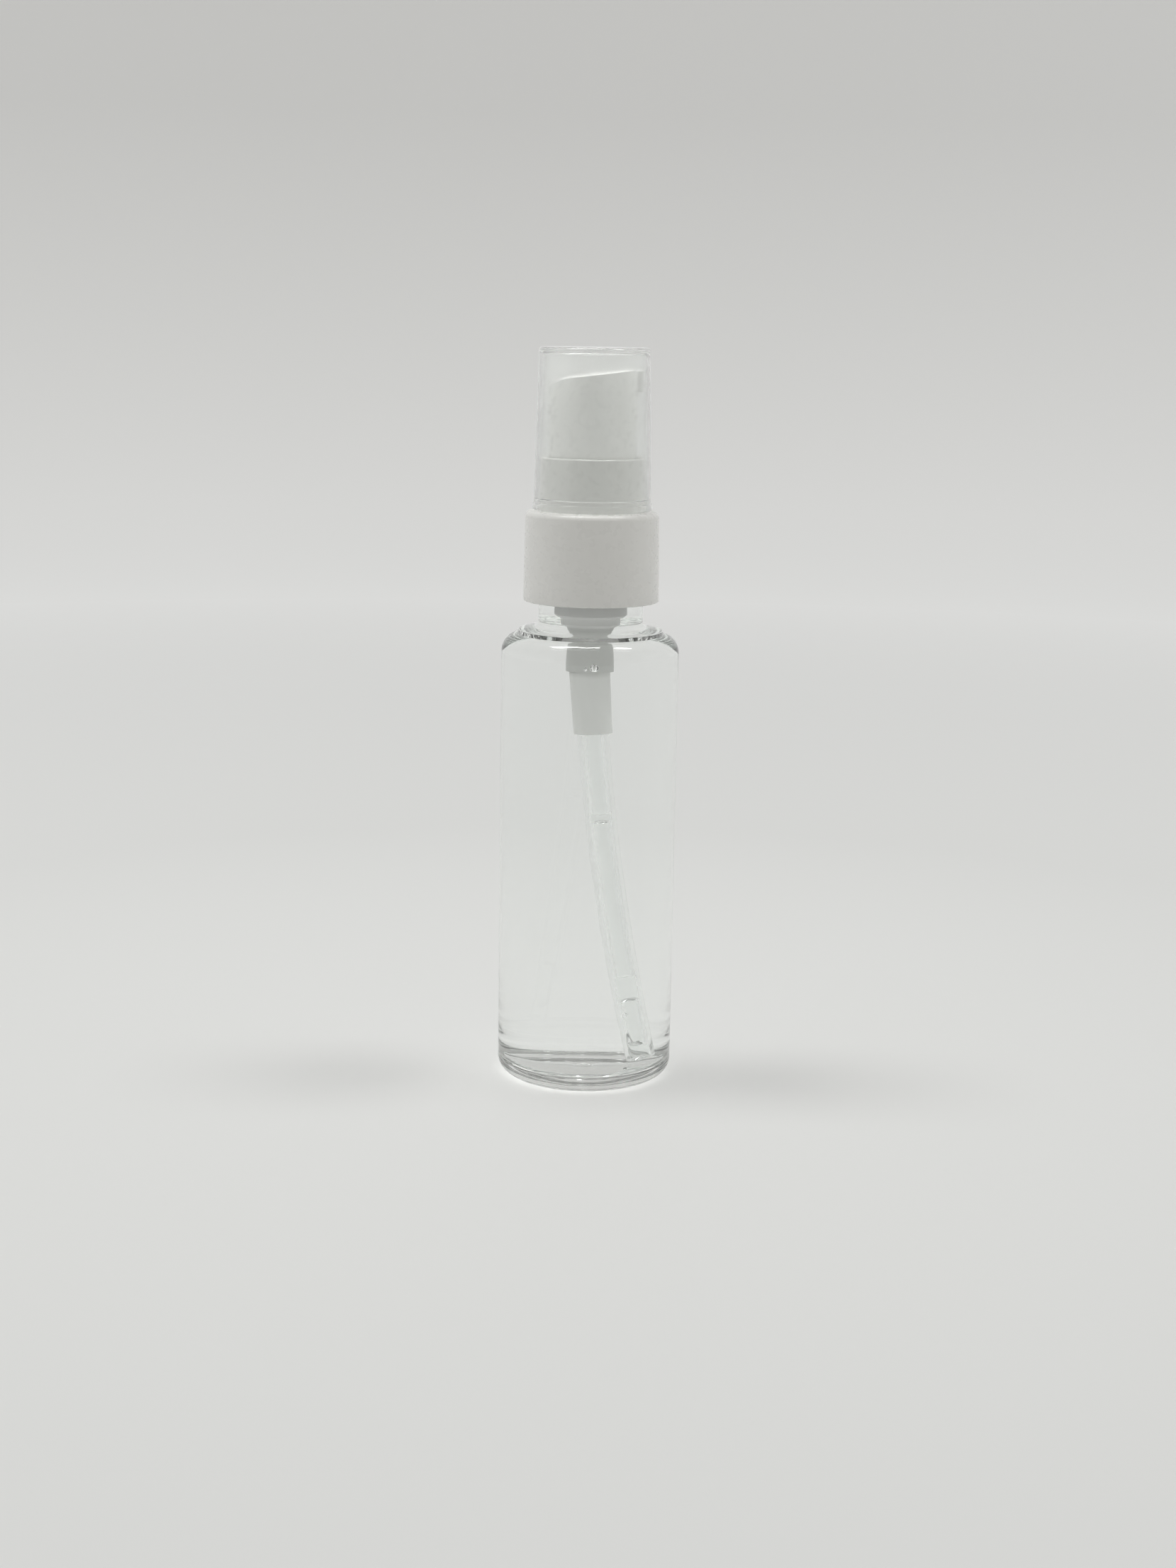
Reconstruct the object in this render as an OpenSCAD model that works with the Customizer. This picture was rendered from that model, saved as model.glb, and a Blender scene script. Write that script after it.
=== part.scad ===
// Small clear bottle with a push-down dispensing pump, a screw collar and a lift-off overcap.
// Millimetres. Origin at the centre of the base, +Z up, the pump's nozzle points along +X.

/* [Bottle body] */
// Outside diameter of the straight body
body_d = 30; // [29:0.5:34]
// Height at which the straight wall ends and the shoulder begins
body_h = 73.7; // [66:0.1:90]
// Wall thickness of the body
body_wall = 0.9; // [0.6:0.1:1.2]
// Radius of the rounded heel
heel_r = 2.8; // [2:0.1:3.5]
// Radius of the rounded shoulder
shoulder_r = 3.2; // [2.5:0.1:3.2]
// Height of the inside floor above the table, near the wall
floor_h = 2.0; // [1.6:0.1:2.2]
// Height of the hollow under the base, at its centre
pushup_h = 1.0; // [0.5:0.1:1.4]

/* [Neck finish] */
// Outside diameter of the neck between the threads
neck_d = 17.6; // [17.4:0.1:17.7]
// Diameter of the neck bore
neck_bore_d = 14.8; // [14.2:0.1:15]
// Height of the neck above the shoulder
neck_h = 15.7; // [15.7:0.1:17]
// Outside diameter over the thread
thread_d = 19.6; // [19.2:0.1:19.7]
// Advance of the thread in one turn
thread_pitch = 3.175; // [3.1:0.005:3.3]
// Number of turns of the thread
thread_turns = 1.5; // [1:0.25:1.5]

/* [Screw collar] */
// Outside diameter of the skirt at its lower edge
collar_d = 22.8; // [22.6:0.1:24]
// Height of the collar from its lower edge to its deck
collar_h = 15.1; // [14.8:0.1:15.4]
// How much smaller the skirt's diameter is at the top
collar_draft = 0.4; // [0:0.1:0.6]
// Radius of the rounded upper edge
collar_edge_r = 1.0; // [0.4:0.1:1.2]
// Outside diameter of the guide ring that the overcap grips
ring_d = 17.6; // [17.4:0.1:17.6]
// Height of the guide ring above the deck
ring_h = 8.9; // [8:0.1:10]

/* [Actuator] */
// Outside diameter of the actuator
head_d = 15; // [14.6:0.1:15.2]
// Distance from the axis to the flat front face
head_front = 7.05; // [6.8:0.05:7.2]
// Distance from the axis to the nozzle's tip
nozzle_reach = 8.2; // [7.8:0.05:8.2]
// Width of the nozzle
nozzle_w = 5.1; // [4:0.1:5.2]
// Height of the nozzle's end face
nozzle_h = 3.6; // [3:0.1:4]
// Diameter of the outlet hole
outlet_d = 1.2; // [0.8:0.1:1.6]
// Slope of the thumb rest, in degrees
thumb_slope = 7.0; // [0:0.1:8]
// Distance that the actuator travels
stroke = 4.5; // [3:0.1:4.5]

/* [Overcap] */
// Outside diameter just above the rim
cap_d = 19.66; // [19.6:0.02:20]
// Outside diameter at the top
cap_top_d = 18.4; // [18.3:0.1:18.8]
// Height of the overcap
cap_h = 26.75; // [26.5:0.05:30]
// Wall thickness
cap_wall = 0.75; // [0.6:0.05:0.75]

/* [Pump] */
// Diameter of the cylinder that the piston runs in
chamber_d = 7; // [6.8:0.1:7]
// Outside diameter of the hollow stem
stem_d = 4; // [3.8:0.1:4]
// Diameter of the inlet ball
ball_d = 3; // [2.8:0.1:3]
// Wire diameter of the return spring
wire_d = 0.5; // [0.4:0.05:0.55]
// Number of coils of the return spring
coils = 7; // [6:1:8]

/* [Dip tube] */
// Outside diameter of the dip tube
tube_d = 3.9; // [3.6:0.1:3.9]
// Bore of the dip tube
tube_bore_d = 2.6; // [2:0.1:2.8]
// Lean of the tube where it enters the pump, in degrees
tube_lean = 2.5; // [0:0.1:3]
// Lean of the tube at its lower end, in degrees
tube_end_lean = 10; // [5:0.1:10]

/* [Hidden] */
$fn = 96;
eps = 0.01;          // overlap of shapes that are joined
cut = 1;             // overshoot of a cut past a face
press = 0.02;        // radial interference of pieces that are pressed together
run = 0.05;          // radial clearance of pieces that slide or turn in each other
face_gap = 0.1;      // axial gap between pieces that turn on each other

// Bottle
body_r = body_d / 2;
inner_r = body_r - body_wall;
inner_heel_r = 3.2;
foot_in_r = 10.2;                     // inner edge of the flat ring that it stands on
shoulder_c = body_r - shoulder_r;     // radius at which the shoulder round is centred
shoulder_top = body_h + shoulder_r;
crease_in = 0.7;                      // from the round's centre to the crease above it
crease_r = shoulder_c + crease_in;
crease_z = body_h + sqrt(pow(shoulder_r, 2) - pow(crease_in, 2));
ledge_r = 11.6;                       // outer edge of the nearly flat ring round the neck
ledge_z = shoulder_top + 0.6;
neck_root_z = shoulder_top + 0.9;
neck_fillet_r = 1.3;
neck_chamfer = 0.3;
neck_r = neck_d / 2;
neck_bore_r = neck_bore_d / 2;
neck_top = neck_root_z + neck_h;
inner_body_h = body_h - 0.3;          // height at which the inside of the shoulder begins
inner_shoulder_r = 2.6;
inner_shoulder_c = inner_r - inner_shoulder_r;
inner_top_z = neck_root_z - 1.4;      // underside of the ring round the neck
inner_slope_h = 0.4;                  // how far that underside falls towards the wall
neck_entry = 0.8;                     // chamfer where the neck bore opens into the body
floor_rise = 0.5;                     // how far the inside floor is domed up
gate_nub_r = 1.2;                     // moulding gate under the middle of the base
gate_nub_h = 0.3;

// Thread
thread_bury = 0.3;                    // how deep the thread's root is sunk in its wall
thread_base_w = 2.0;
thread_crest_w = 0.9;
thread_z = neck_top - 6.7;            // height of the thread's lower end on the neck
collar_root_r = thread_d / 2 + 0.3;   // inside radius of the collar between its threads
collar_crest_r = neck_r + 0.35;       // inside radius over the collar's thread

// Stack on the neck
gasket_h = 0.9;
flange_z = neck_top + gasket_h;
flange_h = 1.5;
flange_r = 8.6;
deck_under = flange_z + flange_h + face_gap;
deck_z = flange_z + 3.0;              // top face of the collar's deck
collar_r = collar_d / 2;
collar_top_r = collar_r - collar_draft / 2;
collar_z = deck_z - collar_h;
ring_r = ring_d / 2;
ring_in_r = ring_r - 0.9;
ring_top = deck_z + ring_h;
ring_edge_r = 0.3;
boss_r = 6.4;                         // round boss of the housing that the collar turns on
boss_in_r = 5.4;
deck_hole_r = boss_r + 0.2;
gasket_in_r = boss_r + 0.1;
lead_in_w = 0.4;                      // chamfer at the collar's mouth
lead_in_h = 0.6;
ring_edge_h = 1.0;                    // height of the ring's rounded end
boss_top = deck_z + face_gap;
retainer_flange_r = 7.5;
retainer_flange_h = 0.9;
retainer_top = boss_top + retainer_flange_h;
retainer_wall = 1.0;
retainer_floor = 1.2;                 // thickness under the groove
retainer_nose_run = 0.06;             // radial clearance of its lower end in the cylinder

// Pump housing, from the top down
chamber_r = chamber_d / 2;
barrel_r = chamber_r + 1.0;
boss_floor = flange_z - 1.9;          // floor of the cup that takes the stem retainer
boss_z = boss_floor - 0.2;            // lower end of the boss
barrel_top = boss_floor - 2.0;        // where the barrel widens into the boss
barrel_edge = 0.4;
chamber_z = neck_top - 13.1;          // lower end of the piston's cylinder
barrel_z = chamber_z - 0.8;
step_r = 3.7;
step_bore_r = 2.9;
step_z = barrel_z - 1.1;
step_floor = step_z - 0.3;
spring_bore_r = 2.2;
lower_r = 2.98;
lower_top = step_z - 1.3;
lower_z = neck_top - 22.7;            // lower end of the ball chamber's barrel
ball_r = ball_d / 2;
ball_bore_r = ball_r + 0.12;
spring_z = lower_z + 3.4;             // ledge that the spring stands on
seat_r = 0.9;                         // radius of the inlet hole under the ball
seat_z = lower_z - 0.1;
seat_top = seat_z + ball_bore_r - seat_r;
ball_z = seat_z - seat_r + (ball_r + 0.07) * sqrt(2);
socket_pivot = lower_z - 0.5;         // height from which the tube socket leans
socket_root = 0.5;                    // how far the socket reaches up into the barrel
inlet_z = socket_pivot - 0.8;         // lower end of the inlet hole, in the socket
socket_r = 2.55;
socket_end_r = 2.42;
socket_len = 10;

// Moving pieces
stem_r = stem_d / 2;
stem_bore_r = 1.1;
piston_top = neck_top - 4.1;
piston_h = 4.5;
piston_z = piston_top - piston_h;
lag = stroke / 9;                     // how far the piston lags behind the rod at full stroke
stem_z = piston_top + lag;
rod_r = 1.45;
rod_bore_top = stem_z + 4.1;          // depth to which the rod reaches into the stem
rod_seat_r = 2.5;
rod_seat_h = 1.2;
rod_tail_r = 1.2;                     // tail that centres the spring
rod_tail_h = 2.6;
rod_end_gap = 0.2;                    // from the rod's top to the end of its bore in the stem
rod_flat = 1.1;                       // from the axis to the flats that let the liquid past
rod_flat_z = piston_z + 0.5;
piston_run = 0.03;                    // radial clearance of the piston's lips
piston_bore_run = 0.07;               // radial clearance of the piston on the rod
piston_lip_h = 0.9;
piston_waist = 0.45;                  // depth of the groove between the lips
lip_root_r = chamber_r - 0.8;         // groove behind each lip, at its bottom and at its mouth
lip_mouth_r = chamber_r - 0.9;
lip_inner_r = chamber_r - 0.6;
lip_outer_r = chamber_r - 0.35;
spring_top = piston_z - rod_seat_h;
spring_r = 1.65;                      // mean radius of the coils
wire_sides = 8;
rings_per_coil = 18;

// Actuator
head_r = head_d / 2;
head_z = ring_top - 2.9;              // lower edge of the skirt, inside the guide ring
thumb_x = -3.7;                       // where the straight slope meets the rounded back
thumb_z = ring_top + 13.05;           // height of the top at that place
back_r = 6.5;                         // radius of the rounded back of the top
back_x = thumb_x + back_r * sin(thumb_slope);
back_z = thumb_z - back_r * cos(thumb_slope);
head_wall = 0.8;
head_roof = ring_top + 9.3;           // underside of the actuator's top
head_socket_r = 3.1;
head_socket_z = head_z + 0.8;
stem_top = ring_top + 6.7;
outlet_z = thumb_z - 1.0;
nozzle_z = thumb_z + 1.35 - nozzle_h; // underside of the nozzle
head_top = thumb_z + 5;               // above the highest point of the thumb rest
dish_r = 25;                          // radius of the hollow of the thumb rest
dish_depth = 0.35;
rib_w = 0.8;

// Overcap
cap_z = deck_z + face_gap;
cap_top = cap_z + cap_h;
cap_r = cap_d / 2;
cap_top_r = cap_top_d / 2;
cap_edge_r = 0.6;
rim_h = 1.2;
rim_r = cap_r + 0.17;
rim_bore_h = 1.9;                     // height of the wider mouth inside the rim
cap_bore_r = cap_r - cap_wall + 0.05;
mouth_r = cap_bore_r + 0.15;
cap_roof = cap_top - cap_wall - 0.05; // underside of the roof
cap_in_edge = 0.5;                    // chamfer where the roof meets the wall, inside
gate_r = 1.5;
gate_bulge = 0.45;

// Dip tube: one long arc in the XZ plane, from the socket's pivot down to the floor
tube_r = tube_d / 2;
tube_bore_r = tube_bore_d / 2;
tube_end_z = floor_h + floor_rise + 0.6;
tube_arc_r = (socket_pivot - tube_end_z) / (sin(tube_end_lean) - sin(tube_lean));
tube_gap = 0.5;                       // from the socket's pivot to the tube's upper end
tube_start = tube_lean + tube_gap / tube_arc_r * 180 / PI;
tube_free = 0.01;                     // degrees of the arc left free above the tube's upper end
bore_sweep = 2;                       // degrees of the arc that the socket's bore is cut along
socket_lean = tube_lean + 0.5;        // the socket follows the tube's curl

// ---------------------------------------------------------------- helpers

// Rectangle of a half section, from radius r1 to r2 and from height z1 to z2
module band(r1, r2, z1, z2) {
    translate([r1, z1])
        square([r2 - r1, z2 - z1]);
}

// Disc of a half section, centred at radius r and height z
module spot(r, z, radius) {
    translate([r, z])
        circle(radius);
}

// Filling between a ring-shaped step and an upright wall: a quarter hollow of the given radius
module fillet(r, z, radius) {
    difference() {
        translate([r - eps, z - eps])
            square(radius + eps);
        spot(r + radius, z + radius, radius);
    }
}

// Part of a shallow dome's half section: a cap of the given radius and rise, its foot at height z
module dome(foot_r, z, rise) {
    dome_r = (foot_r * foot_r + rise * rise) / (2 * rise);
    intersection() {
        translate([0, z + rise - dome_r])
            circle(dome_r, $fn = 720);
        band(0, foot_r, z - eps, z + rise + eps);
    }
}

// Tube or rod standing on height z1
module rod(r, z1, z2) {
    translate([0, 0, z1])
        cylinder(r = r, h = z2 - z1);
}

// Triangles that join a stack of rings with the given number of corners, both ends closed
function skin(rings, corners) = concat(
    [for (i = [0 : rings - 2], j = [0 : corners - 1])
        [i * corners + j, (i + 1) * corners + j, i * corners + (j + 1) % corners]],
    [for (i = [0 : rings - 2], j = [0 : corners - 1])
        [i * corners + (j + 1) % corners, (i + 1) * corners + j, (i + 1) * corners + (j + 1) % corners]],
    [for (j = [1 : corners - 2]) [0, j, j + 1]],
    [for (j = [1 : corners - 2])
        [(rings - 1) * corners, (rings - 1) * corners + j + 1, (rings - 1) * corners + j]]
);

// Point at radius r, angle a and height z
function polar(r, a, z) = [r * cos(a), r * sin(a), z];

// Half section of the thread, its root sunk in the wall
module thread_section(wall_r, crest_r) {
    root_r = wall_r + (crest_r > wall_r ? -thread_bury : thread_bury);
    polygon([
        [root_r, -thread_base_w / 2], [crest_r, -thread_crest_w / 2],
        [crest_r, thread_crest_w / 2], [root_r, thread_base_w / 2]
    ]);
}

// Right-hand thread from a wall of radius wall_r to crest_r, its lower end at height z,
// made of quarter turns that are each tilted to the lead angle and overlap a little
module screw_thread(wall_r, crest_r, z) {
    quarters = round(thread_turns * 4);
    lead = atan(thread_pitch / (PI * (wall_r + crest_r)));
    overlap = 0.5;
    for (i = [0 : quarters - 1])
        rotate([0, 0, 90 * i + 45])
            translate([0, 0, z + thread_pitch * (i + 0.5) / 4])
                rotate([lead, 0, 0])
                    rotate([0, 0, -45 - overlap])
                        rotate_extrude(angle = 90 + 2 * overlap)
                            thread_section(wall_r, crest_r);
}

// ---------------------------------------------------------------- bottle

module bottle_outside() {
    band(0, body_r, heel_r, body_h);
    band(0, body_r - heel_r, 0, heel_r + eps);
    spot(body_r - heel_r, heel_r, heel_r);
    spot(shoulder_c, body_h, shoulder_r);
    band(0, shoulder_c, body_h - eps, shoulder_top);
    polygon([
        [0, body_h], [crease_r, body_h], [crease_r, crease_z],
        [ledge_r, ledge_z], [neck_r + neck_fillet_r, neck_root_z], [0, neck_root_z]
    ]);
    fillet(neck_r, neck_root_z, neck_fillet_r);
    polygon([
        [0, body_h], [neck_r, body_h], [neck_r, neck_top - neck_chamfer],
        [neck_r - neck_chamfer, neck_top], [0, neck_top]
    ]);
}

module bottle_inside() {
    difference() {
        union() {
            band(0, inner_r, floor_h + inner_heel_r, inner_body_h);
            band(0, inner_r - inner_heel_r, floor_h, floor_h + inner_heel_r + eps);
            spot(inner_r - inner_heel_r, floor_h + inner_heel_r, inner_heel_r);
            spot(inner_shoulder_c, inner_body_h, inner_shoulder_r);
            band(0, inner_shoulder_c, inner_body_h - eps, inner_top_z - inner_slope_h);
            polygon([
                [0, body_h], [inner_shoulder_c, body_h],
                [inner_shoulder_c, inner_top_z - inner_slope_h], [neck_bore_r + neck_entry, inner_top_z],
                [neck_bore_r, inner_top_z + neck_entry], [neck_bore_r, neck_top + eps], [0, neck_top + eps]
            ]);
        }
        dome(inner_r - inner_heel_r, floor_h, floor_rise);
    }
}

module bottle() {
    color([0.86, 0.9, 0.9, 0.4]) {
        difference() {
            rotate_extrude()
                bottle_outside();
            rotate_extrude()
                bottle_inside();
            rotate_extrude()
                difference() {
                    union() {
                        dome(foot_in_r, 0, pushup_h);
                        band(0, foot_in_r, -cut, 0);
                    }
                    band(0, gate_nub_r, pushup_h - gate_nub_h, pushup_h + eps);
                }
        }
        screw_thread(neck_r, thread_d / 2, thread_z);
    }
}

// ---------------------------------------------------------------- collar and gasket

module screw_collar() {
    color([0.96, 0.96, 0.95]) {
        rotate_extrude()
            difference() {
                union() {
                    polygon([
                        [boss_r, collar_z], [collar_r, collar_z],
                        [collar_top_r, deck_z - collar_edge_r], [boss_r, deck_z - collar_edge_r]
                    ]);
                    spot(collar_top_r - collar_edge_r, deck_z - collar_edge_r, collar_edge_r);
                    band(boss_r, collar_top_r - collar_edge_r, deck_z - collar_edge_r - eps, deck_z);
                    band(ring_in_r, ring_r, deck_z - eps, ring_top - ring_edge_r);
                    band(ring_in_r + ring_edge_r, ring_r - ring_edge_r, ring_top - ring_edge_h, ring_top);
                    spot(ring_in_r + ring_edge_r, ring_top - ring_edge_r, ring_edge_r);
                    spot(ring_r - ring_edge_r, ring_top - ring_edge_r, ring_edge_r);
                }
                band(0, collar_root_r, collar_z - cut, deck_under);
                band(0, deck_hole_r, deck_under - cut, deck_z + cut);
                polygon([
                    [collar_root_r - cut, collar_z - eps], [collar_root_r + lead_in_w, collar_z - eps],
                    [collar_root_r, collar_z + lead_in_h], [collar_root_r - cut, collar_z + lead_in_h]
                ]);
            }
        screw_thread(collar_root_r, collar_crest_r, thread_z - thread_pitch / 2);
    }
}

module neck_gasket() {
    color([0.93, 0.93, 0.9])
        rotate_extrude()
            band(gasket_in_r, flange_r, neck_top, flange_z);
}

// ---------------------------------------------------------------- pump housing

// Sweeps a round section along the dip tube's arc, from one lean to another
module along_tube(from_lean, to_lean) {
    translate([tube_arc_r * cos(tube_lean), 0, socket_pivot + tube_arc_r * sin(tube_lean)])
        rotate([90, 0, 0])
            rotate([0, 0, 180 + from_lean])
                rotate_extrude(angle = to_lean - from_lean, $fn = 1440)
                    translate([tube_arc_r, 0])
                        children();
}

module housing_outside() {
    band(0, flange_r, flange_z, flange_z + flange_h);
    band(0, boss_r, boss_z, boss_top);
    polygon([
        [0, barrel_z], [barrel_r - barrel_edge, barrel_z], [barrel_r, barrel_z + barrel_edge],
        [barrel_r, barrel_top], [boss_r, boss_z], [0, boss_z]
    ]);
    polygon([
        [0, lower_z], [lower_r, lower_z], [lower_r, lower_top],
        [step_r, step_z], [step_r, barrel_z + eps], [0, barrel_z + eps]
    ]);
}

module housing_inside() {
    band(0, boss_in_r, boss_floor, boss_top + cut);
    band(0, chamber_r, chamber_z, boss_floor + eps);
    band(0, step_bore_r, step_floor, chamber_z + eps);
    band(0, spring_bore_r, spring_z, step_z);
    band(0, ball_bore_r, seat_top, spring_z + eps);
    polygon([[0, seat_z], [seat_r, seat_z], [ball_bore_r, seat_top], [0, seat_top + eps]]);
    band(0, seat_r, inlet_z, seat_z + eps);
}

module pump_housing() {
    color([0.9, 0.91, 0.89])
        difference() {
            union() {
                rotate_extrude()
                    housing_outside();
                translate([0, 0, socket_pivot])
                    rotate([0, -socket_lean, 0])
                        translate([0, 0, -socket_len])
                            cylinder(r1 = socket_end_r, r2 = socket_r, h = socket_len + socket_root);
            }
            rotate_extrude()
                housing_inside();
            along_tube(tube_start - tube_free, tube_lean + bore_sweep)
                circle(tube_r - press);
        }
}

module stem_retainer() {
    color([0.95, 0.95, 0.94])
        rotate_extrude()
            difference() {
                union() {
                    band(0, retainer_flange_r, boss_top, retainer_top);
                    band(0, boss_in_r + press, boss_floor + face_gap, boss_top + eps);
                    band(0, chamber_r - retainer_nose_run, piston_top + face_gap, boss_floor + retainer_wall);
                }
                band(0, stem_r + run, piston_top, retainer_top + cut);
                band(
                    stem_r + retainer_wall, boss_in_r - retainer_wall,
                    boss_floor + retainer_floor, retainer_top + cut
                );
            }
}

// ---------------------------------------------------------------- dip tube

module dip_tube() {
    color([0.88, 0.92, 0.9, 0.6])
        along_tube(tube_start, tube_end_lean)
            difference() {
                circle(tube_r);
                circle(tube_bore_r);
            }
}

// ---------------------------------------------------------------- inner moving pieces

module inlet_ball() {
    color([0.75, 0.76, 0.78])
        translate([0, 0, ball_z])
            sphere(r = ball_r);
}

// Height of the wire's centre at turn t, with the first and last coils closed
function wire_z(t) =
    let (
        low = spring_z + wire_d / 2,
        high = spring_top - wire_d / 2,
        open = (high - low - 2 * wire_d) / (coils - 2)
    )
    t < 1 ? low + wire_d * t
    : t > coils - 1 ? high - wire_d * (coils - t)
    : low + wire_d + open * (t - 1);

module return_spring() {
    rings = coils * rings_per_coil + 1;
    points = [
        for (i = [0 : rings - 1], j = [0 : wire_sides - 1])
            let (t = i / rings_per_coil, b = 360 * j / wire_sides)
            polar(spring_r + wire_d / 2 * cos(b), 360 * t, wire_z(t) + wire_d / 2 * sin(b))
    ];
    color([0.7, 0.71, 0.73])
        polyhedron(points, skin(rings, wire_sides));
}

module piston_rod() {
    color([0.94, 0.94, 0.93])
        difference() {
            union() {
                rod(rod_tail_r, spring_top - rod_tail_h, spring_top + eps);
                rod(rod_seat_r, spring_top, piston_z - press);
                rod(rod_r, spring_top, rod_bore_top - rod_end_gap);
            }
            for (turn = [0, 180])
                rotate([0, 0, turn])
                    translate([rod_flat, -rod_r, rod_flat_z])
                        cube([rod_r, 2 * rod_r, rod_bore_top - rod_flat_z]);
        }
}

// Groove that frees a lip of the piston, from its mouth at height z to a depth of one lip
module lip_groove(z, depth) {
    polygon([
        [lip_mouth_r, z - sign(depth) * eps], [lip_outer_r, z - sign(depth) * eps],
        [lip_inner_r, z + depth], [lip_root_r, z + depth]
    ]);
}

module piston() {
    color([0.9, 0.93, 0.94])
        rotate_extrude()
            difference() {
                band(rod_r + piston_bore_run, chamber_r - piston_run, piston_z, piston_top);
                band(
                    chamber_r - piston_waist, chamber_r + cut,
                    piston_z + piston_lip_h, piston_top - piston_lip_h
                );
                lip_groove(piston_z, piston_lip_h);
                lip_groove(piston_top, -piston_lip_h);
            }
}

module stem() {
    color([0.95, 0.95, 0.94])
        difference() {
            rod(stem_r, stem_z, stem_top);
            rod(stem_bore_r, stem_z - cut, stem_top + cut);
            rod(rod_r + run, stem_z - cut, rod_bore_top);
        }
}

// ---------------------------------------------------------------- actuator

// Side view of the actuator: straight slope of the thumb rest with a rounded back
module head_side_view() {
    front_x = nozzle_reach + cut;
    polygon([
        [-head_r - cut, head_z], [front_x, head_z],
        [front_x, thumb_z + (front_x - thumb_x) * tan(thumb_slope)],
        [thumb_x, thumb_z], [back_x, back_z], [-head_r - cut, back_z]
    ]);
    spot(back_x, back_z, back_r);
}

module head_block() {
    rotate([90, 0, 0])
        linear_extrude(height = head_d + 2 * cut, center = true)
            head_side_view();
}

// Everything behind the plane x = front, between two heights
module behind(front, z1, z2) {
    translate([-head_r - cut, -head_r - cut, z1])
        cube([front + head_r + cut, head_d + 2 * cut, z2 - z1]);
}

module thumb_dish() {
    translate([thumb_x, 0, thumb_z])
        rotate([0, -thumb_slope, 0])
            translate([0, 0, dish_r - dish_depth])
                rotate([0, 90, 0])
                    cylinder(r = dish_r, h = 4 * head_d, center = true, $fn = 360);
}

module actuator() {
    color([0.97, 0.97, 0.96])
        difference() {
            intersection() {
                head_block();
                union() {
                    intersection() {
                        rod(head_r, head_z, head_top);
                        behind(head_front, head_z, head_top);
                    }
                    intersection() {
                        rod(nozzle_reach, head_roof, head_top);
                        translate([0, -nozzle_w / 2, nozzle_z])
                            cube([nozzle_reach + cut, nozzle_w, head_top - nozzle_z]);
                    }
                }
            }
            thumb_dish();
            difference() {
                intersection() {
                    rod(head_r - head_wall, head_z - cut, head_roof);
                    behind(head_front - head_wall, head_z - cut, head_roof);
                }
                rod(head_socket_r, head_socket_z, head_roof + cut);
                for (turn = [0, 90])
                    rotate([0, 0, turn])
                        translate([-head_r, -rib_w / 2, stem_top])
                            cube([head_d, rib_w, head_roof + cut - stem_top]);
            }
            rod(stem_r - press, head_socket_z - cut, stem_top);
            rod(stem_bore_r, stem_top - eps, outlet_z);
            translate([0, 0, outlet_z])
                rotate([0, 90, 0])
                    cylinder(d = outlet_d, h = nozzle_reach + cut);
        }
}

// ---------------------------------------------------------------- overcap

// Wall of the overcap: tapered, open below, with a rim, a wider mouth and rounded edges at the top
module cap_wall_section() {
    difference() {
        union() {
            polygon([
                [0, cap_z], [cap_r, cap_z], [cap_top_r, cap_top - cap_edge_r], [0, cap_top - cap_edge_r]
            ]);
            spot(cap_top_r - cap_edge_r, cap_top - cap_edge_r, cap_edge_r);
            band(0, cap_top_r - cap_edge_r, cap_top - cap_edge_r - eps, cap_top);
            band(0, rim_r, cap_z, cap_z + rim_h);
        }
        polygon([
            [0, cap_z - cut], [cap_bore_r, cap_z - cut], [cap_top_r - cap_wall, cap_roof - cap_in_edge],
            [cap_top_r - cap_wall - cap_in_edge, cap_roof], [0, cap_roof]
        ]);
        band(0, mouth_r, cap_z - cut, cap_z + rim_bore_h);
    }
}

// Lens-shaped bulge of the moulding gate, under the roof
module gate_bulge_section() {
    lens_r = (gate_r * gate_r + gate_bulge * gate_bulge) / (2 * gate_bulge);
    intersection() {
        spot(0, cap_roof - gate_bulge + lens_r, lens_r);
        band(0, gate_r, cap_roof - gate_bulge - eps, cap_roof + eps);
    }
}

module overcap() {
    color([0.9, 0.93, 0.93, 0.5])
        rotate_extrude() {
            cap_wall_section();
            gate_bulge_section();
        }
}

bottle();
screw_collar();
neck_gasket();
pump_housing();
stem_retainer();
dip_tube();
inlet_ball();
return_spring();
piston_rod();
piston();
stem();
actuator();
overcap();
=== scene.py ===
"""Looks of the small pump bottle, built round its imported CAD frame. Blender objects are in metres,
and every size below is in millimetres unless a comment says otherwise."""

import math

import bmesh
import bpy
from mathutils import Matrix, Vector


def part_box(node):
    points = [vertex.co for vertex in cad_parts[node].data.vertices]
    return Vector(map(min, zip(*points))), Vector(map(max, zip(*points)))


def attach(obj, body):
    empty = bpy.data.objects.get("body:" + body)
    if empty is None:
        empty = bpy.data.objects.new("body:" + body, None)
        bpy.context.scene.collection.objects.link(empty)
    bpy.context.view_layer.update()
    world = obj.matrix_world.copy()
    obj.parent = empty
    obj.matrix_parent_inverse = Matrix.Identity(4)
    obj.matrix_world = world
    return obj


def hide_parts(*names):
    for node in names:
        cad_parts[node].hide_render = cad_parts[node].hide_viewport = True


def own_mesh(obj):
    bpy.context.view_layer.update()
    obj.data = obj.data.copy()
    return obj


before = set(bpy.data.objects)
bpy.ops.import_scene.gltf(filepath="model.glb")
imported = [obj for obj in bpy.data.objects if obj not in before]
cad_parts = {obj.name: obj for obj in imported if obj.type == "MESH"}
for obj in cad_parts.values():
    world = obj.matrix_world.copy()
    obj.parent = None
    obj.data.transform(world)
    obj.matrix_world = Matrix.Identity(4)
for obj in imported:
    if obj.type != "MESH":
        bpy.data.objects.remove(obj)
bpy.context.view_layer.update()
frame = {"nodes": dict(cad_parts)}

MM = 0.001


def box_mm(node):
    """Lowest and highest corner of a CAD node, in millimetres."""
    low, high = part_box(node)
    return low / MM, high / MM


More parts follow.
